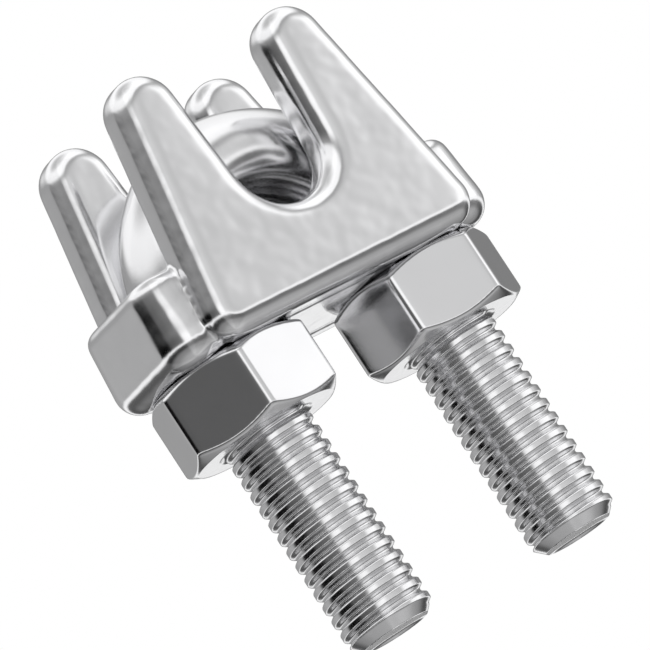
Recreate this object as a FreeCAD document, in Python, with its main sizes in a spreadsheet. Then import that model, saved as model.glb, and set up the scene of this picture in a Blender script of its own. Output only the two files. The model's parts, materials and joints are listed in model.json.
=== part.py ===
import FreeCAD, Part
import math
import os
import Sketcher

# Wire rope clip for 6 mm rope: a cast saddle with four horns, an M6 U-bolt and two hex nuts.
# The origin is the rope's axis in the saddle's cradle. +Y runs along the rope, +X from the left
# leg to the right leg, and +Z from the nuts towards the tips of the horns.

VECTOR = FreeCAD.Vector
SKETCH_NORMAL = VECTOR(0, 0, 1)
TOLERANCE_MM = 1e-4
# A nut's chamfer cutter reaches this many widths across flats from the axis, past the corners.
CUTTER_REACH = 0.7

# Lengths in mm, and drafts, chamfers and turns in degrees. Heights in the saddle are above its
# seat, the flat underside that the nuts bear on.
DRIVING_SIZES = {
    "LegSpacing": 15.3,
    "RodDiameter": 5.9,
    "BowCentreAboveSeat": 3.6,
    "LegBelowBowCentre": 23.0,
    "LegTipChamfer": 0.7,
    "NutAcrossFlats": 10.0,
    "NutHeight": 5.0,
    "NutBore": 6.0,
    "NutCornerRound": 0.35,
    "NutChamferDiameter": 9.7,
    "NutChamferAngle": 30.0,
    "NutMouthChamfer": 0.35,
    "LeftNutTurn": 9.0,
    "RightNutTurn": 43.0,
    "BaseHalfLength": 13.3,
    "BaseHalfWidth": 5.3,
    "BaseHeight": 6.0,
    "BaseCornerRadius": 2.4,
    "BaseDraft": 5.0,
    "BaseBottomRound": 1.6,
    "BaseTopRound": 1.0,
    "LegHoleDiameter": 6.6,
    "WallInner": 3.3,
    "WallOuter": 6.7,
    "WallHalfLength": 10.7,
    "WallFootRadius": 1.8,
    "WallOuterRound": 1.35,
    "WallInnerRound": 1.2,
    "HornTipHeight": 17.2,
    "HornTipRadius": 2.2,
    "HornCentre": 6.0,
    "CradleRadius": 3.3,
    "CradleAboveSeat": 5.8,
    "TravelToClosed": 1.5,
}
SEAT_LEVEL = "-(Sizes.CradleAboveSeat + Sizes.CradleRadius)"
BOW_LEVEL = f"{SEAT_LEVEL} + Sizes.BowCentreAboveSeat"


def fill_sheet(document):
    """Write each driving dimension and its alias to a row of the spreadsheet."""
    sheet = document.addObject("Spreadsheet::Sheet", "Sizes")
    for row, (alias, value) in enumerate(DRIVING_SIZES.items(), start=1):
        sheet.set(f"A{row}", alias)
        sheet.set(f"B{row}", str(value))
        sheet.setAlias(f"B{row}", alias)
    document.recompute()
    return sheet


def bind(item, expressions):
    """Bind an object's properties, or a sketch's named constraints, to the spreadsheet."""
    for name, expression in expressions.items():
        item.setExpression(name, expression)
    return item


def new_body(document, label):
    body = document.addObject("PartDesign::Body", label)
    body.Label = label
    return body


def new_sketch(body, name, plane_role):
    """Add a sketch to a body, attached to one of the body's own origin planes."""
    plane = next(item for item in body.Origin.OriginFeatures if item.Role == plane_role)
    sketch = body.newObject("Sketcher::SketchObject", name)
    sketch.AttachmentSupport = (plane, "")
    sketch.MapMode = "FlatFace"
    return sketch


def constrain(sketch, name, *definition):
    """Add a constraint, named so that an expression can drive it, or unnamed if name is None."""
    index = sketch.addConstraint(Sketcher.Constraint(*definition))
    if name:
        sketch.renameConstraint(index, name)
    return index


def edge_names(shape, wanted):
    """Names of a shape's edges for which wanted(edge) is true."""
    return [f"Edge{number}" for number, edge in enumerate(shape.Edges, start=1) if wanted(edge)]


def lies_at(edge, axis, level):
    """Whether every part of an edge has the given coordinate along an axis."""
    box = edge.BoundBox
    low, high = getattr(box, f"{axis}Min"), getattr(box, f"{axis}Max")
    return abs(low - level) < TOLERANCE_MM and abs(high - level) < TOLERANCE_MM


def round_edges(body, name, wanted, radius_alias):
    """Fillet the wanted edges of a body's tip feature."""
    body.Document.recompute()
    base = body.Tip
    fillet = body.newObject("PartDesign::Fillet", name)
    fillet.Base = (base, edge_names(base.Shape, wanted))
    return bind(fillet, {"Radius": f"Sizes.{radius_alias}"})


# Saddle


def base_block(document, sheet):
    """The saddle's base with its two ears: a drafted block with rounded corners."""
    body = new_body(document, "base_block")
    sketch = new_sketch(body, "BasePlan", "XY_Plane")
    length, width, corner = sheet.BaseHalfLength, sheet.BaseHalfWidth, sheet.BaseCornerRadius
    quarter = math.pi / 2
    for side in range(4):
        along_x = 1 if side in (0, 3) else -1
        along_y = 1 if side in (0, 1) else -1
        centre = VECTOR(along_x * (length - corner), along_y * (width - corner), 0)
        circle = Part.Circle(centre, SKETCH_NORMAL, corner)
        sketch.addGeometry(Part.ArcOfCircle(circle, side * quarter, (side + 1) * quarter))
    for side in range(4):
        start = sketch.getPoint(side, 2)
        end = sketch.getPoint((side + 1) % 4, 1)
        line = sketch.addGeometry(Part.LineSegment(start, end))
        constrain(sketch, None, "Tangent", side, 2, line, 1)
        constrain(sketch, None, "Tangent", line, 2, (side + 1) % 4, 1)
        constrain(sketch, None, "Horizontal" if side % 2 == 0 else "Vertical", line)
    for side in range(1, 4):
        constrain(sketch, None, "Equal", 0, side)
    constrain(sketch, None, "Symmetric", 0, 3, 2, 3, -1, 1)
    constrain(sketch, "Corner", "Radius", 0, corner)
    constrain(sketch, "ReachX", "DistanceX", -1, 1, 0, 3, length - corner)
    constrain(sketch, "ReachY", "DistanceY", -1, 1, 0, 3, width - corner)
    bind(sketch, {
        "Constraints.Corner": "Sizes.BaseCornerRadius",
        "Constraints.ReachX": "Sizes.BaseHalfLength - Sizes.BaseCornerRadius",
        "Constraints.ReachY": "Sizes.BaseHalfWidth - Sizes.BaseCornerRadius",
    })
    pad = body.newObject("PartDesign::Pad", "BasePad")
    pad.Profile = sketch
    bind(pad, {"Length": "Sizes.BaseHeight", "TaperAngle": "-Sizes.BaseDraft"})
    round_edges(body, "BottomRound", lambda edge: lies_at(edge, "Z", 0), "BaseBottomRound")
    round_edges(body, "TopRound", lambda edge: lies_at(edge, "Z", sheet.BaseHeight), "BaseTopRound")
    return body


def inner_flank_normal(horn_centre, horn_radius, cradle_centre, cradle_radius):
    """Normal of the straight flank that touches a horn's round tip and the round cradle."""
    gap = cradle_centre - horn_centre
    angle = math.atan2(gap.y, gap.x) + math.acos((horn_radius + cradle_radius) / gap.Length)
    return VECTOR(math.cos(angle), math.sin(angle), 0)


def wall(document, sheet):
    """One wall of the saddle: two tapered horns with the rope's cradle between them."""
    body = new_body(document, "front_wall")
    sketch = new_sketch(body, "WallOutline", "XZ_Plane")
    horn_z = sheet.HornTipHeight - sheet.HornTipRadius
    cradle_z = sheet.CradleAboveSeat + sheet.CradleRadius
    horn, foot = sheet.HornTipRadius, sheet.WallFootRadius
    cradle_centre = VECTOR(0, cradle_z, 0)
    foot_x = sheet.WallHalfLength - foot

    # Left half first: foot arc, outer side, horn's tip, inner side, cradle.
    horn_centre = VECTOR(-sheet.HornCentre, horn_z, 0)
    foot_centre = VECTOR(-foot_x, foot, 0)
    inner = inner_flank_normal(horn_centre, horn, cradle_centre, sheet.CradleRadius)
    lean = math.atan2(foot_x - sheet.HornCentre, horn_z - foot)
    shift = math.asin((horn - foot) / (horn_centre - foot_centre).Length)
    outer_angle = math.pi - lean + shift
    inner_angle = math.atan2(inner.y, inner.x)

    def arc(centre, radius, start, end):
        return sketch.addGeometry(Part.ArcOfCircle(Part.Circle(centre, SKETCH_NORMAL, radius), start, end))

    def mirrored(vector):
        return VECTOR(-vector.x, vector.y, 0)

    left_foot = arc(foot_centre, foot, outer_angle, 1.5 * math.pi)
    left_horn = arc(horn_centre, horn, inner_angle, outer_angle)
    cradle = arc(cradle_centre, sheet.CradleRadius, math.pi + inner_angle, 2 * math.pi - inner_angle)
    right_horn = arc(mirrored(horn_centre), horn, math.pi - outer_angle, math.pi - inner_angle)
    right_foot = arc(mirrored(foot_centre), foot, -0.5 * math.pi, math.pi - outer_angle)
    # Each line joins the end of one arc to the start of the next: (arc, end, arc, end).
    joins = (
        (left_foot, 1, left_horn, 2),
        (left_horn, 1, cradle, 1),
        (cradle, 2, right_horn, 2),
        (right_horn, 1, right_foot, 2),
        (right_foot, 1, left_foot, 2),
    )
    for first, first_end, second, second_end in joins:
        start = sketch.getPoint(first, first_end)
        end = sketch.getPoint(second, second_end)
        line = sketch.addGeometry(Part.LineSegment(start, end))
        constrain(sketch, None, "Tangent", first, first_end, line, 1)
        constrain(sketch, None, "Tangent", line, 2, second, second_end)
    constrain(sketch, None, "Equal", left_horn, right_horn)
    constrain(sketch, None, "Equal", left_foot, right_foot)
    constrain(sketch, None, "Symmetric", left_horn, 3, right_horn, 3, -2)
    constrain(sketch, None, "Symmetric", left_foot, 3, right_foot, 3, -2)
    constrain(sketch, None, "PointOnObject", cradle, 3, -2)
    constrain(sketch, "HornRadius", "Radius", left_horn, horn)
    constrain(sketch, "FootRadius", "Radius", left_foot, foot)
    constrain(sketch, "CradleRadius", "Radius", cradle, sheet.CradleRadius)
    constrain(sketch, "HornX", "DistanceX", -1, 1, right_horn, 3, sheet.HornCentre)
    constrain(sketch, "HornZ", "DistanceY", -1, 1, right_horn, 3, horn_z)
    constrain(sketch, "FootX", "DistanceX", -1, 1, right_foot, 3, foot_x)
    constrain(sketch, "FootZ", "DistanceY", -1, 1, right_foot, 3, foot)
    constrain(sketch, "CradleZ", "DistanceY", -1, 1, cradle, 3, cradle_z)
    bind(sketch, {
        "Constraints.HornRadius": "Sizes.HornTipRadius",
        "Constraints.FootRadius": "Sizes.WallFootRadius",
        "Constraints.CradleRadius": "Sizes.CradleRadius",
        "Constraints.HornX": "Sizes.HornCentre",
        "Constraints.HornZ": "Sizes.HornTipHeight - Sizes.HornTipRadius",
        "Constraints.FootX": "Sizes.WallHalfLength - Sizes.WallFootRadius",
        "Constraints.FootZ": "Sizes.WallFootRadius",
        "Constraints.CradleZ": "Sizes.CradleAboveSeat + Sizes.CradleRadius",
        "AttachmentOffset.Base.z": "Sizes.WallInner",
    })
    pad = body.newObject("PartDesign::Pad", "WallPad")
    pad.Profile = sketch
    bind(pad, {"Length": "Sizes.WallOuter - Sizes.WallInner"})
    round_edges(body, "OuterRound", lambda edge: lies_at(edge, "Y", -sheet.WallOuter), "WallOuterRound")
    round_edges(body, "InnerRound", lambda edge: lies_at(edge, "Y", -sheet.WallInner), "WallInnerRound")
    return body


def leg_hole(document, name, side):
    """A clearance hole through an ear, on the left leg's side (-1) or the right leg's (1)."""
    hole = document.addObject("Part::Cylinder", name)
    return bind(hole, {
        "Radius": "Sizes.LegHoleDiameter / 2",
        "Height": "2 * Sizes.BaseHeight",
        ".Placement.Base.x": f"{side} * Sizes.LegSpacing / 2",
        ".Placement.Base.z": "-Sizes.BaseHeight / 2",
    })


def bow_channel(document):
    """The room that the bow's curve needs between the walls when the clip is closed."""
    room = document.addObject("Part::Box", "channel_room")
    bind(room, {
        "Length": "Sizes.LegSpacing",
        "Width": "2 * Sizes.WallInner",
        "Height": "Sizes.BaseHeight",
        ".Placement.Base.x": "-Sizes.LegSpacing / 2",
        ".Placement.Base.y": "-Sizes.WallInner",
        ".Placement.Base.z": "Sizes.BowCentreAboveSeat - Sizes.TravelToClosed",
    })
    hump = document.addObject("Part::Cylinder", "cradle_hump")
    hump.Placement.Rotation = FreeCAD.Rotation(VECTOR(1, 0, 0), -90)
    bind(hump, {
        "Radius": "(Sizes.LegSpacing - Sizes.LegHoleDiameter) / 2",
        "Height": "4 * Sizes.WallInner",
        ".Placement.Base.y": "-2 * Sizes.WallInner",
        ".Placement.Base.z": "Sizes.BowCentreAboveSeat - Sizes.TravelToClosed",
    })
    channel = document.addObject("Part::Cut", "bow_channel")
    channel.Base = room
    channel.Tool = hump
    return channel


def cradle_groove(document):
    """The round groove that the rope lies in, along the whole width of the saddle."""
    groove = document.addObject("Part::Cylinder", "cradle_groove")
    groove.Placement.Rotation = FreeCAD.Rotation(VECTOR(1, 0, 0), -90)
    return bind(groove, {
        "Radius": "Sizes.CradleRadius",
        "Height": "4 * Sizes.WallOuter",
        ".Placement.Base.y": "-2 * Sizes.WallOuter",
        ".Placement.Base.z": "Sizes.CradleAboveSeat + Sizes.CradleRadius",
    })


def saddle(document, sheet):
    front = wall(document, sheet)
    back = document.addObject("Part::Mirroring", "back_wall")
    back.Source = front
    back.Normal = VECTOR(0, 1, 0)
    casting = document.addObject("Part::MultiFuse", "saddle_casting")
    casting.Shapes = [base_block(document, sheet), front, back]
    cuts = document.addObject("Part::MultiFuse", "saddle_cuts")
    cuts.Shapes = [
        leg_hole(document, "left_leg_hole", -1),
        leg_hole(document, "right_leg_hole", 1),
        bow_channel(document),
        cradle_groove(document),
    ]
    finished = document.addObject("Part::Cut", "saddle")
    finished.Base = casting
    finished.Tool = cuts
    return bind(finished, {".Placement.Base.z": SEAT_LEVEL})


# U-bolt


def u_bolt(document, sheet):
    """A round rod bent to a half circle, with two straight legs that carry the thread."""
    body = new_body(document, "u_bolt")
    path = new_sketch(body, "RodPath", "XZ_Plane")
    half = sheet.LegSpacing / 2
    tip = -sheet.LegBelowBowCentre
    left = path.addGeometry(Part.LineSegment(VECTOR(-half, tip, 0), VECTOR(-half, 0, 0)))
    bow = path.addGeometry(Part.ArcOfCircle(Part.Circle(VECTOR(), SKETCH_NORMAL, half), 0, math.pi))
    right = path.addGeometry(Part.LineSegment(VECTOR(half, 0, 0), VECTOR(half, tip, 0)))
    constrain(path, None, "Tangent", left, 2, bow, 2)
    constrain(path, None, "Tangent", bow, 1, right, 1)
    constrain(path, None, "Coincident", bow, 3, -1, 1)
    constrain(path, None, "Vertical", left)
    constrain(path, None, "Equal", left, right)
    constrain(path, "BowRadius", "Radius", bow, half)
    constrain(path, "LegLength", "DistanceY", left, 1, left, 2, -tip)
    bind(path, {
        "Constraints.BowRadius": "Sizes.LegSpacing / 2",
        "Constraints.LegLength": "Sizes.LegBelowBowCentre",
    })
    section = new_sketch(body, "RodSection", "XY_Plane")
    section.addGeometry(Part.Circle(VECTOR(-half, 0, 0), SKETCH_NORMAL, sheet.RodDiameter / 2))
    constrain(section, "Rod", "Diameter", 0, sheet.RodDiameter)
    constrain(section, None, "PointOnObject", 0, 3, -1)
    constrain(section, "Offset", "DistanceX", 0, 3, -1, 1, half)
    bind(section, {
        "Constraints.Rod": "Sizes.RodDiameter",
        "Constraints.Offset": "Sizes.LegSpacing / 2",
        "AttachmentOffset.Base.z": "-Sizes.LegBelowBowCentre",
    })
    document.recompute()
    rod = body.newObject("PartDesign::AdditivePipe", "Rod")
    rod.Profile = section
    rod.Spine = (path, ["Edge1", "Edge2", "Edge3"])
    document.recompute()
    chamfer = body.newObject("PartDesign::Chamfer", "LegTips")
    chamfer.Base = (rod, edge_names(rod.Shape, lambda edge: lies_at(edge, "Z", tip)))
    bind(chamfer, {"Size": "Sizes.LegTipChamfer"})
    return bind(body, {".Placement.Base.z": BOW_LEVEL})


# Nuts


def corner_groove(body, sheet, name, at_top):
    """Cut a nut's corners back to a cone at its upper or lower face."""
    sketch = new_sketch(body, f"{name}Section", "XZ_Plane")
    inner = sheet.NutChamferDiameter / 2
    outer = sheet.NutAcrossFlats * CUTTER_REACH
    drop = (outer - inner) * math.tan(math.radians(sheet.NutChamferAngle))
    face = sheet.NutHeight if at_top else 0
    inward = -drop if at_top else drop
    corners = (VECTOR(inner, face, 0), VECTOR(outer, face, 0), VECTOR(outer, face + inward, 0))
    for start, end in zip(corners, corners[1:] + corners[:1]):
        sketch.addGeometry(Part.LineSegment(start, end))
    for side in range(3):
        constrain(sketch, None, "Coincident", side, 2, (side + 1) % 3, 1)
    constrain(sketch, None, "Horizontal", 0)
    constrain(sketch, None, "Vertical", 1)
    constrain(sketch, "Inner", "DistanceX", -1, 1, 0, 1, inner)
    constrain(sketch, "Outer", "DistanceX", -1, 1, 0, 2, outer)
    if at_top:
        constrain(sketch, "Face", "DistanceY", -1, 1, 0, 1, face)
        constrain(sketch, "Drop", "DistanceY", 1, 2, 1, 1, drop)
        bind(sketch, {"Constraints.Face": "Sizes.NutHeight"})
    else:
        constrain(sketch, None, "PointOnObject", 0, 1, -1)
        constrain(sketch, "Drop", "DistanceY", 1, 1, 1, 2, drop)
    bind(sketch, {
        "Constraints.Inner": "Sizes.NutChamferDiameter / 2",
        "Constraints.Outer": f"Sizes.NutAcrossFlats * {CUTTER_REACH}",
        "Constraints.Drop": f"(Sizes.NutAcrossFlats * {CUTTER_REACH} - Sizes.NutChamferDiameter / 2)"
                            " * tan(Sizes.NutChamferAngle * 1 deg)",
    })
    groove = body.newObject("PartDesign::Groove", name)
    groove.Profile = sketch
    groove.ReferenceAxis = (sketch, ["V_Axis"])
    groove.Angle = 360
    return groove


def hex_nut(document, sheet, label, side, turn_alias):
    """A hex nut, chamfered on both faces, on the left leg (-1) or the right leg (1).

    The bore is plain, and turn_alias names the angle that the nut's corners stand at.
    """
    body = new_body(document, label)
    sketch = new_sketch(body, "Hexagon", "XY_Plane")
    corner = sheet.NutAcrossFlats / math.sqrt(3)
    points = [
        VECTOR(corner * math.cos(math.radians(angle)), corner * math.sin(math.radians(angle)), 0)
        for angle in range(0, 360, 60)
    ]
    for start, end in zip(points, points[1:] + points[:1]):
        sketch.addGeometry(Part.LineSegment(start, end))
    rim = sketch.addGeometry(Part.Circle(VECTOR(), SKETCH_NORMAL, corner), True)
    for flat in range(6):
        constrain(sketch, None, "Coincident", flat, 2, (flat + 1) % 6, 1)
        constrain(sketch, None, "PointOnObject", flat, 1, rim)
    for flat in range(1, 6):
        constrain(sketch, None, "Equal", 0, flat)
    constrain(sketch, None, "Coincident", rim, 3, -1, 1)
    constrain(sketch, None, "PointOnObject", 0, 1, -1)
    constrain(sketch, "CornerCircle", "Radius", rim, corner)
    bind(sketch, {"Constraints.CornerCircle": "Sizes.NutAcrossFlats / sqrt(3)"})
    pad = body.newObject("PartDesign::Pad", "NutPad")
    pad.Profile = sketch
    bind(pad, {"Length": "Sizes.NutHeight"})
    round_edges(body, "Corners", lambda edge: edge.BoundBox.ZLength > sheet.NutHeight / 2, "NutCornerRound")
    corner_groove(body, sheet, "LowerChamfer", False)
    corner_groove(body, sheet, "UpperChamfer", True)
    bore_sketch = new_sketch(body, "BoreCircle", "XY_Plane")
    bore_sketch.addGeometry(Part.Circle(VECTOR(), SKETCH_NORMAL, sheet.NutBore / 2))
    constrain(bore_sketch, None, "Coincident", 0, 3, -1, 1)
    constrain(bore_sketch, "Bore", "Diameter", 0, sheet.NutBore)
    bind(bore_sketch, {"Constraints.Bore": "Sizes.NutBore"})
    bore = body.newObject("PartDesign::Pocket", "Bore")
    bore.Profile = bore_sketch
    bore.Reversed = True
    bind(bore, {"Length": "Sizes.NutHeight"})
    document.recompute()
    mouths = body.newObject("PartDesign::Chamfer", "BoreMouths")
    mouth_radius = sheet.NutBore / 2
    mouths.Base = (bore, edge_names(bore.Shape, lambda edge: is_rim(edge, mouth_radius)))
    bind(mouths, {"Size": "Sizes.NutMouthChamfer"})
    body.Placement.Rotation = FreeCAD.Rotation(SKETCH_NORMAL, getattr(sheet, turn_alias))
    return bind(body, {
        ".Placement.Base.x": f"{side} * Sizes.LegSpacing / 2",
        ".Placement.Base.z": f"{SEAT_LEVEL} - Sizes.NutHeight",
        ".Placement.Rotation.Angle": f"Sizes.{turn_alias} * 1 deg",
    })


def is_rim(edge, radius):
    """Whether an edge is a whole circle of the given radius."""
    return isinstance(edge.Curve, Part.Circle) and abs(edge.Curve.Radius - radius) < TOLERANCE_MM


def check(document, parts):
    """Stop if any object failed, or if a sub-part isn't one valid solid."""
    for item in document.Objects:
        if any(word in item.State for word in ("Invalid", "Error")):
            raise RuntimeError(f"{item.Label} is {item.State}")
    for item in parts:
        if item.Shape.isNull() or not item.Shape.isValid():
            raise RuntimeError(f"{item.Label} has no valid shape")
        if len(item.Shape.Solids) != 1:
            raise RuntimeError(f"{item.Label} has {len(item.Shape.Solids)} solids")


def main():
    document = FreeCAD.newDocument("wire_rope_clip")
    sheet = fill_sheet(document)
    parts = [
        saddle(document, sheet),
        u_bolt(document, sheet),
        hex_nut(document, sheet, "nut_left", -1, "LeftNutTurn"),
        hex_nut(document, sheet, "nut_right", 1, "RightNutTurn"),
    ]
    document.recompute()
    check(document, parts)
    os.makedirs("parts", exist_ok=True)
    for item in parts:
        item.Shape.exportStep(f"parts/{item.Label}.step")
        print(f"{item.Label}: {item.Shape.Volume:.1f} mm3")


main()
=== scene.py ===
import bpy
import math
import numpy as np
from mathutils import Matrix, Vector, noise
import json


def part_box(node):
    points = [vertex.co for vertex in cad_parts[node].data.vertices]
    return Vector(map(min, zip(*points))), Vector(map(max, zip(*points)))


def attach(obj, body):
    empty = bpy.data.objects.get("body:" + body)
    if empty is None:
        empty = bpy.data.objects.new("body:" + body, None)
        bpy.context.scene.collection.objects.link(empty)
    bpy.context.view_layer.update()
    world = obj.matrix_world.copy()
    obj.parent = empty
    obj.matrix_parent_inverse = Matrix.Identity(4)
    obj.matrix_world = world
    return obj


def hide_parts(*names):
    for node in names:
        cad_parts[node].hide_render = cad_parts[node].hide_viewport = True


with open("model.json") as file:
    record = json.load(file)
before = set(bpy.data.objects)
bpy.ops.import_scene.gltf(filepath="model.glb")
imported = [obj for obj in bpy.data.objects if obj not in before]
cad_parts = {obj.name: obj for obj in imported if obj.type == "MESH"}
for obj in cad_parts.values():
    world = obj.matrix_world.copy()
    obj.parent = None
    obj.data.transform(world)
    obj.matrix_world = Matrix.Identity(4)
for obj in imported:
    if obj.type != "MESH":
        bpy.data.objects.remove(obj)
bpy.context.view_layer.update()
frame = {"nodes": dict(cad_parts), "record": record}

# Wire rope clip. The object is built in millimetres and scaled to the frame's metres.
MM = 0.001
FULL_TURN = 2 * math.pi

# Sizes that the frame states: the right nut's axis is its leg's, and each node has a box.
right_nut_turn = next(
    joint for joint in frame["record"]["behaviour"]["joints"] if joint["name"] == "nut_right_turn"
)
LEG_X = right_nut_turn["pos_m"][0] / MM


def box_mm(node):
    """A CAD node's lowest and highest corners, in millimetres."""
    low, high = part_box(node)
    return low / MM, high / MM


BOLT_LOW, BOLT_HIGH = box_mm("u_bolt")
TIP_Z = BOLT_LOW.z
ROD_RADIUS = (BOLT_HIGH.y - BOLT_LOW.y) / 2
BOW_Z = BOLT_HIGH.z - LEG_X - ROD_RADIUS
NUT_HIGH = box_mm("nut_left")[1]

# M6 x 1 thread, right-handed. Its crests are the size of the CAD's rod.
PITCH = 1.0
THREAD_DEPTH = 0.30
CREST_SHARE = 0.34
ROOT_SHARE = 0.10
THREAD_CLEARANCE = 0.05
THREAD_BELOW_BOW = 1.0
THREAD_TOP = BOW_Z - THREAD_BELOW_BOW
THREAD_RUNOUT = 1.2
RINGS_PER_PITCH = 16
TIP_CHAMFER = 0.7

# Nuts. The turn is the angle of the corners, as in the CAD.
NUT_TURNS = {"nut_left": 9, "nut_right": 43}
NUT_APOTHEM = 5.0
NUT_FACE_RADIUS = 4.85
NUT_CHAMFER_SLOPE = math.tan(math.radians(30))
CORNER_SHARPNESS = 60
MOUTH_RADIUS = 3.25
NUT_CHAMFER_RINGS = 48
NUT_FACE_SHARES = (0.1, 0.5, 0.9)

# Saddle's skin: low waves of two sizes, in waves per millimetre.
SKIN_BROAD_WAVES = 0.55
SKIN_SMALL_WAVES = 1.3
SKIN_SMALL_SHARE = 0.5

# Metal: how far its tone and gloss stray, and how strongly its grain shows.
TONE_RANGE = (0.94, 1.03)
TONE_WAVES = 0.25
GLOSS_RANGE = (0.75, 1.3)
GRAIN_STRENGTH = 0.35

# Photograph's view, as directions in the frame.
VIEW_AZIMUTH = math.radians(36)
VIEW_ELEVATION = math.radians(-12.5)
LEG_LEAN = math.radians(54.1)
# A loose saddle rocks on its legs. Half of that rock is in the view, and the saddle stays square.
HALF_ROCK = math.radians(4.5)
FRAME_WIDTH = 39.63
LENS_MM = 500
SENSOR_MM = 36
ORIGIN_RIGHT = -0.28
ORIGIN_UP = 9.61

FLOOR_Z = -0.2


# Meshes


def new_object(name, vertices, faces):
    """A mesh object from vertices in millimetres."""
    mesh = bpy.data.meshes.new(name)
    mesh.from_pydata((np.asarray(vertices) * MM).tolist(), [], faces)
    mesh.validate()
    mesh.polygons.foreach_set("use_smooth", [True] * len(mesh.polygons))
    mesh.update()
    thing = bpy.data.objects.new(name, mesh)
    bpy.context.scene.collection.objects.link(thing)
    return thing


def ring_faces(ring_count, around, closed=False):
    """Quads that join rings of vertices, each ring having the same number around."""
    faces = []
    for ring in range(ring_count if closed else ring_count - 1):
        start, after = ring * around, (ring + 1) % ring_count * around
        for k in range(around):
            next_k = (k + 1) % around
            faces.append((start + k, start + next_k, after + next_k, after + k))
    return faces


def thread_groove(angle, height):
    """How deep the thread is cut at a point on the cylinder, from 0 at a crest to 1 at the root."""
    from_crest = np.abs((height / PITCH - angle / FULL_TURN) % 1.0 - 0.5) * 2
    flank = (from_crest - CREST_SHARE) / (1 - CREST_SHARE - ROOT_SHARE)
    flank = np.clip(flank, 0, 1)
    return flank * flank * (3 - 2 * flank)


def rod_radius(angle, height):
    """The leg's radius: a thread with a run-out at the top and a chamfer at the tip."""
    runout = np.clip((THREAD_TOP - height) / THREAD_RUNOUT, 0, 1)
    threaded = ROD_RADIUS - THREAD_DEPTH * thread_groove(angle, height) * runout
    chamfer = ROD_RADIUS - TIP_CHAMFER + (height - TIP_Z)
    return np.minimum(threaded, chamfer)


def leg_rings(side, around):
    """Rings of one leg, from its tip to the bow. The left leg is side -1."""
    count = int((BOW_Z - TIP_Z) / PITCH * RINGS_PER_PITCH)
    angles = np.linspace(0, FULL_TURN, around, endpoint=False)
    # Counted from the direction of the bow's centre, so that both legs join the bow's rings.
    world_angles = angles if side < 0 else math.pi - angles
    rings = []
    for height in np.linspace(TIP_Z, BOW_Z, count):
        radius = rod_radius(world_angles, height)
        rings.append(np.stack([
            side * LEG_X + radius * np.cos(world_angles),
            radius * np.sin(world_angles),
            np.full(around, height),
        ], axis=1))
    return rings


def bow_rings(around, count=90):
    """Rings of the half circle between the legs, from left to right."""
    angles = np.linspace(0, FULL_TURN, around, endpoint=False)
    rings = []
    for turn in np.linspace(math.pi, 0, count)[1:-1]:
        reach = LEG_X - ROD_RADIUS * np.cos(angles)
        rings.append(np.stack([
            reach * math.cos(turn),
            ROD_RADIUS * np.sin(angles),
            BOW_Z + reach * math.sin(turn),
        ], axis=1))
    return rings


def make_u_bolt(around=80):
    left, right = leg_rings(-1, around), leg_rings(1, around)
    rings = left + bow_rings(around) + right[::-1]
    vertices = np.concatenate(rings)
    faces = [face[::-1] for face in ring_faces(len(rings), around)]
    last = len(rings) * around
    tips = [rings[0].mean(axis=0), rings[-1].mean(axis=0)]
    for k in range(around):
        next_k = (k + 1) % around
        faces.append((last, next_k, k))
        faces.append((last + 1, last - around + k, last - around + next_k))
    return new_object("threaded_u_bolt", np.vstack([vertices, tips]), faces)


def hexagon_radius(angles, turn):
    """A hexagon's outline with rounded corners, as a radius for each angle."""
    total = np.zeros_like(angles)
    for flat in range(6):
        normal = turn + FULL_TURN * (flat + 0.5) / 6
        total += np.maximum(np.cos(angles - normal), 0) ** CORNER_SHARPNESS
    return NUT_APOTHEM / total ** (1 / CORNER_SHARPNESS)


def nut_outside(angles, turn, above_bottom, height):
    """The nut's outer radius: a hexagon cut back by a cone at each face."""
    nearest_face = min(above_bottom, height - above_bottom)
    cone = NUT_FACE_RADIUS + nearest_face / NUT_CHAMFER_SLOPE
    hexagon = hexagon_radius(angles, turn)
    power = CORNER_SHARPNESS
    return (hexagon ** -power + cone ** -power) ** (-1 / power)


def make_nut(node, around=180):
    low, high = box_mm(node)
    centre_x = math.copysign(LEG_X, low.x + high.x)
    height = high.z - low.z
    turn = math.radians(NUT_TURNS[node])
    angles = np.linspace(0, FULL_TURN, around, endpoint=False)
    profile = []
    bore_steps = np.linspace(0, height, int(height / PITCH * RINGS_PER_PITCH))
    for above in bore_steps:
        groove = THREAD_DEPTH * thread_groove(angles, low.z + above)
        thread = ROD_RADIUS + THREAD_CLEARANCE - groove
        mouth = MOUTH_RADIUS - min(above, height - above)
        profile.append((np.maximum(thread, mouth), above))
    rim_top = nut_outside(angles, turn, height, height)
    for share in NUT_FACE_SHARES:
        profile.append((MOUTH_RADIUS + (rim_top - MOUTH_RADIUS) * share, height))
    # Closer together near the faces, where the chamfers curve.
    for step in np.linspace(0, math.pi, NUT_CHAMFER_RINGS):
        above = height * (1 + math.cos(step)) / 2
        profile.append((nut_outside(angles, turn, above, height), above))
    rim_bottom = nut_outside(angles, turn, 0, height)
    for share in reversed(NUT_FACE_SHARES):
        profile.append((MOUTH_RADIUS + (rim_bottom - MOUTH_RADIUS) * share, 0))
    rings = [
        np.stack([
            centre_x + radius * np.cos(angles),
            radius * np.sin(angles),
            np.full(around, low.z + above),
        ], axis=1)
        for radius, above in profile
    ]
    faces = ring_faces(len(rings), around, closed=True)
    return new_object(node + "_threaded", np.concatenate(rings), faces)


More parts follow.
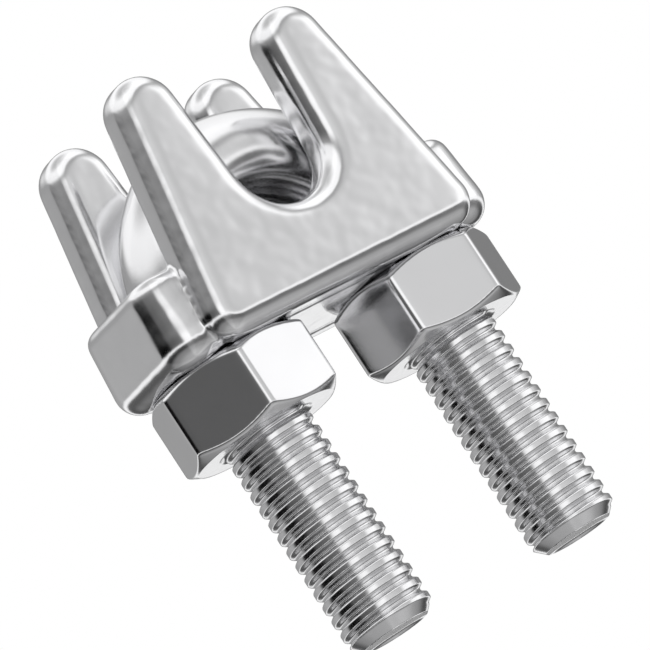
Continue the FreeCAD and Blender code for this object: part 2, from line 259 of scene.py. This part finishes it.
def make_saddle(voxel=0.13, smoothing=10, wave=0.012):
    """The CAD saddle as a casting: softened corners and a slightly uneven skin."""
    source = frame["nodes"]["saddle"]
    mesh = source.data.copy()
    mesh.transform(Matrix.Scale(1 / MM, 4))
    casting = bpy.data.objects.new("cast_saddle", mesh)
    bpy.context.scene.collection.objects.link(casting)
    casting.modifiers.clear()
    remesh = casting.modifiers.new("Remesh", "REMESH")
    remesh.mode = "VOXEL"
    remesh.voxel_size = voxel
    soften = casting.modifiers.new("Soften", "SMOOTH")
    soften.factor = 0.5
    soften.iterations = smoothing
    graph = bpy.context.evaluated_depsgraph_get()
    finished = bpy.data.meshes.new_from_object(casting.evaluated_get(graph))
    casting.modifiers.clear()
    casting.data = finished
    # All normals are read before any vertex moves, because a move makes them out of date.
    places, normals = (np.empty(len(finished.vertices) * 3) for _ in range(2))
    finished.vertices.foreach_get("co", places)
    finished.vertices.foreach_get("normal", normals)
    places, normals = places.reshape(-1, 3), normals.reshape(-1, 3)
    swell = [
        noise.noise(Vector(place * SKIN_BROAD_WAVES))
        + SKIN_SMALL_SHARE * noise.noise(Vector(place * SKIN_SMALL_WAVES))
        for place in places
    ]
    places += normals * (np.array(swell) * wave)[:, None]
    finished.vertices.foreach_set("co", places.ravel())
    finished.transform(Matrix.Scale(MM, 4))
    finished.polygons.foreach_set("use_smooth", [True] * len(finished.polygons))
    finished.update()
    return casting


# Materials


def metal(name, colour, roughness, grain_per_mm, bump_mm):
    """Bright steel with faint tone and gloss variation and a fine grain."""
    material = bpy.data.materials.new(name)
    material.use_nodes = True
    nodes, links = material.node_tree.nodes, material.node_tree.links
    shader = nodes["Principled BSDF"]
    shader.inputs["Metallic"].default_value = 1.0
    place = nodes.new("ShaderNodeTexCoord")
    broad = nodes.new("ShaderNodeTexNoise")
    broad.inputs["Scale"].default_value = TONE_WAVES / MM
    broad.inputs["Detail"].default_value = 3
    fine = nodes.new("ShaderNodeTexNoise")
    fine.inputs["Scale"].default_value = grain_per_mm / MM
    fine.inputs["Detail"].default_value = 4
    for texture in (broad, fine):
        links.new(place.outputs["Object"], texture.inputs["Vector"])
    tone = nodes.new("ShaderNodeValToRGB")
    for stop, factor in zip(tone.color_ramp.elements, TONE_RANGE):
        stop.color = (*(channel * factor for channel in colour), 1)
    links.new(broad.outputs["Fac"], tone.inputs["Fac"])
    links.new(tone.outputs["Color"], shader.inputs["Base Color"])
    gloss = nodes.new("ShaderNodeMapRange")
    gloss.inputs["To Min"].default_value = roughness * GLOSS_RANGE[0]
    gloss.inputs["To Max"].default_value = roughness * GLOSS_RANGE[1]
    links.new(fine.outputs["Fac"], gloss.inputs["Value"])
    links.new(gloss.outputs["Result"], shader.inputs["Roughness"])
    grain = nodes.new("ShaderNodeBump")
    grain.inputs["Strength"].default_value = GRAIN_STRENGTH
    grain.inputs["Distance"].default_value = bump_mm * MM
    links.new(fine.outputs["Fac"], grain.inputs["Height"])
    links.new(grain.outputs["Normal"], shader.inputs["Normal"])
    return material


def dress(piece, material, body, slot, *nodes):
    """Give a piece its material and its body, and hide the CAD nodes that it replaces. The slot is
    not used.
    """
    piece.data.materials.clear()
    piece.data.materials.append(material)
    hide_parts(*nodes)
    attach(piece, body)


# Studio


def ramp(nodes, stops, interpolation="EASE"):
    """A colour ramp of greys from (position, brightness) pairs."""
    node = nodes.new("ShaderNodeValToRGB")
    node.color_ramp.interpolation = interpolation
    elements = node.color_ramp.elements
    while len(elements) > 1:
        elements.remove(elements[-1])
    for index, (position, brightness) in enumerate(stops):
        element = elements[0] if index == 0 else elements.new(position)
        element.position = position
        element.color = (brightness, brightness, brightness, 1)
    return node


# Brightness of the studio around the object, by compass direction at the horizon, in degrees
# anticlockwise from +X: a dark side behind the left, and soft boxes in front and to the right.
STUDIO_AROUND = (
    (0, 0.42), (32, 0.18), (60, 0.22), (90, 0.30), (118, 0.36), (130, 0.34), (140, 0.0),
    (176, 0.0), (192, 0.08), (226, 0.12), (238, 0.90), (252, 0.95), (264, 0.60), (304, 0.48),
    (314, 0.95), (340, 1.0), (352, 0.60),
)
# Brightness towards the ground and the sky, by the sine of the elevation, and how much of each
# takes the place of the brightness around.
STUDIO_BELOW = (
    (-1.0, 0.40), (-0.70, 0.22), (-0.46, 0.03), (-0.32, 0.05), (-0.20, 0.95), (-0.08, 0.85),
)
BELOW_SHARE = ((-0.14, 0.85), (-0.04, 0.0))
STUDIO_ABOVE = ((0.25, 0.20), (0.50, 0.28), (0.66, 0.95), (0.84, 1.0), (1.0, 0.50))
ABOVE_SHARE = ((0.26, 0.0), (0.50, 0.85))
STUDIO_STRENGTH = 1.3


def make_world():
    world = bpy.data.worlds.new("studio")
    bpy.context.scene.world = world
    world.use_nodes = True
    nodes, links = world.node_tree.nodes, world.node_tree.links
    nodes.clear()
    place = nodes.new("ShaderNodeTexCoord")
    split = nodes.new("ShaderNodeSeparateXYZ")
    links.new(place.outputs["Generated"], split.inputs["Vector"])
    turn = nodes.new("ShaderNodeMath")
    turn.operation = "ARCTAN2"
    links.new(split.outputs["Y"], turn.inputs[0])
    links.new(split.outputs["X"], turn.inputs[1])
    share = nodes.new("ShaderNodeMath")
    share.operation = "WRAP"
    share.inputs[1].default_value = FULL_TURN
    share.inputs[2].default_value = 0
    links.new(turn.outputs[0], share.inputs[0])
    fraction = nodes.new("ShaderNodeMath")
    fraction.operation = "DIVIDE"
    fraction.inputs[1].default_value = FULL_TURN
    links.new(share.outputs[0], fraction.inputs[0])
    around = ramp(nodes, [(degrees / 360, tone) for degrees, tone in STUDIO_AROUND])
    links.new(fraction.outputs[0], around.inputs["Fac"])

    height = nodes.new("ShaderNodeMapRange")
    height.inputs["From Min"].default_value = -1
    links.new(split.outputs["Z"], height.inputs["Value"])
    colour = around.outputs["Color"]
    blends = ((STUDIO_BELOW, BELOW_SHARE), (STUDIO_ABOVE, ABOVE_SHARE))
    for tones, edge in blends:
        tone = ramp(nodes, [((sine + 1) / 2, value) for sine, value in tones])
        mask = ramp(nodes, [((sine + 1) / 2, value) for sine, value in edge])
        for node in (tone, mask):
            links.new(height.outputs["Result"], node.inputs["Fac"])
        mix = nodes.new("ShaderNodeMix")
        mix.data_type = "RGBA"
        links.new(mask.outputs["Color"], mix.inputs["Factor"])
        links.new(colour, mix.inputs["A"])
        links.new(tone.outputs["Color"], mix.inputs["B"])
        colour = mix.outputs["Result"]

    studio = nodes.new("ShaderNodeBackground")
    studio.inputs["Strength"].default_value = STUDIO_STRENGTH
    links.new(colour, studio.inputs["Color"])
    backdrop = nodes.new("ShaderNodeBackground")
    backdrop.inputs["Color"].default_value = (1, 1, 1, 1)
    ray = nodes.new("ShaderNodeLightPath")
    choose = nodes.new("ShaderNodeMixShader")
    links.new(ray.outputs["Is Camera Ray"], choose.inputs["Fac"])
    links.new(studio.outputs[0], choose.inputs[1])
    links.new(backdrop.outputs[0], choose.inputs[2])
    output = nodes.new("ShaderNodeOutputWorld")
    links.new(choose.outputs[0], output.inputs["Surface"])


def make_floor(half=1.0):
    corners = [(-half, -half), (half, -half), (half, half), (-half, half)]
    mesh = bpy.data.meshes.new("floor")
    mesh.from_pydata([(x, y, FLOOR_Z) for x, y in corners], [], [(0, 1, 2, 3)])
    floor = bpy.data.objects.new("floor", mesh)
    bpy.context.scene.collection.objects.link(floor)
    material = bpy.data.materials.new("floor_paper")
    material.use_nodes = True
    shader = material.node_tree.nodes["Principled BSDF"]
    shader.inputs["Base Color"].default_value = (0.9, 0.9, 0.9, 1)
    shader.inputs["Roughness"].default_value = 0.9
    mesh.materials.append(material)
    # The paper stays out of the metal's reflections, which the studio alone makes.
    floor.visible_glossy = False


def make_camera():
    sin_a, cos_a = math.sin(VIEW_AZIMUTH), math.cos(VIEW_AZIMUTH)
    sin_e, cos_e = math.sin(VIEW_ELEVATION), math.cos(VIEW_ELEVATION)
    towards = Vector((-sin_a * cos_e, -cos_a * cos_e, sin_e))
    right = Vector((cos_a, -sin_a, 0))
    up = towards.cross(right)
    # Rolled so that the legs run down to the right.
    across, along = math.sin(LEG_LEAN), math.cos(LEG_LEAN)
    camera_right = right * across - up * along
    camera_up = right * along + up * across
    aim = (right * -ORIGIN_RIGHT - up * ORIGIN_UP) * MM
    data = bpy.data.cameras.new("camera")
    data.lens = LENS_MM
    data.sensor_width = SENSOR_MM
    distance = FRAME_WIDTH * MM * LENS_MM / SENSOR_MM
    camera = bpy.data.objects.new("camera", data)
    bpy.context.scene.collection.objects.link(camera)
    turn = Matrix((camera_right, camera_up, towards)).transposed().to_4x4()
    seat = Matrix.Translation((0, 0, NUT_HIGH.z * MM))
    rock = seat @ Matrix.Rotation(-HALF_ROCK, 4, "X") @ seat.inverted()
    camera.matrix_world = rock @ Matrix.Translation(aim + towards * distance) @ turn
    data.clip_start = distance / 10
    data.clip_end = distance * 20
    bpy.context.scene.camera = camera


casting_steel = metal("casting_steel", (0.84, 0.84, 0.85), 0.15, 2.2, 0.003)
rod_steel = metal("rod_steel", (0.80, 0.80, 0.81), 0.17, 4.0, 0.006)
nut_steel = metal("nut_steel", (0.80, 0.80, 0.81), 0.15, 3.5, 0.005)

dress(make_saddle(), casting_steel, "saddle", "cast_steel", "saddle")
dress(make_u_bolt(), rod_steel, "u_bolt", "rod_steel", "u_bolt")
for nut in NUT_TURNS:
    dress(make_nut(nut), nut_steel, nut, "nut_steel", nut)

bpy.context.scene.view_settings.view_transform = "Standard"
make_world()
make_floor()
make_camera()
